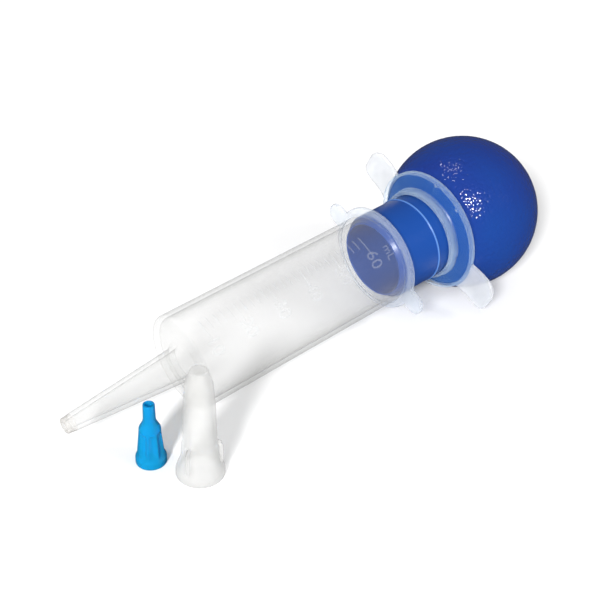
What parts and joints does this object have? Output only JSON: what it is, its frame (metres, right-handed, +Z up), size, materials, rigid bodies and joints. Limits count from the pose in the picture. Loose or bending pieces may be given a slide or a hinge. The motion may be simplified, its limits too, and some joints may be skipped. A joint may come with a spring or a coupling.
{
  "type": "bulb syringe nasal aspirator",
  "caption": "Bulb syringe nasal aspirator lying down: clear graduated barrel with taper tip, blue squeeze ball, winged finger collar, loose tip cap and tube adapter.",
  "frame": {"origin": "centre of the whole object's bounding box at table height", "axes": "+X from the taper tip towards the squeeze ball, +Y to the left when looking that way, +Z up"},
  "size_m": [0.2024, 0.0718, 0.0574],
  "materials": {
    "clear_plastic": "clear, smooth",
    "blue_rubber": "glossy with a fine orange-peel skin",
    "neck_rubber": "smooth, satin",
    "collar_plastic": "translucent, smooth",
    "cap_plastic": "translucent, smooth",
    "azure_plastic": "smooth"
  },
  "bodies": {
    "barrel_body": {"barrel": "clear_plastic"},
    "bulb": {"bulb_neck": "neck_rubber"},
    "squeeze_ball": {"bulb_ball": "blue_rubber"},
    "collar": {"finger_collar": "collar_plastic"},
    "cap": {"tip_cap": "cap_plastic"},
    "adapter": {"tube_adapter": "azure_plastic"}
  },
  "joints": [
    {"name": "bulb_pull", "type": "slide", "parent": "barrel_body", "child": "bulb", "axis": [0.9957, 0, 0.0927], "range_m": [0, 0.025]},
    {"name": "collar_turn", "type": "hinge", "parent": "bulb", "child": "collar", "pos_m": [0.05204, 0.00232, 0.02679], "axis": [0.9957, 0, 0.0927], "continuous": true},
    {"name": "bulb_squeeze", "type": "slide", "parent": "bulb", "child": "squeeze_ball", "axis": [-0.9957, 0, -0.0927], "range_m": [0, 0.022], "stiffness_N_per_m": 900, "deforming": ["bulb_ball"]},
    {"name": "tip_cap_lift", "type": "slide", "parent": "barrel_body", "child": "cap", "axis": [0, 0, 1], "range_m": [0, 0.06]},
    {"name": "adapter_lift", "type": "slide", "parent": "barrel_body", "child": "adapter", "axis": [0, 0, 1], "range_m": [0, 0.06]}
  ]
}
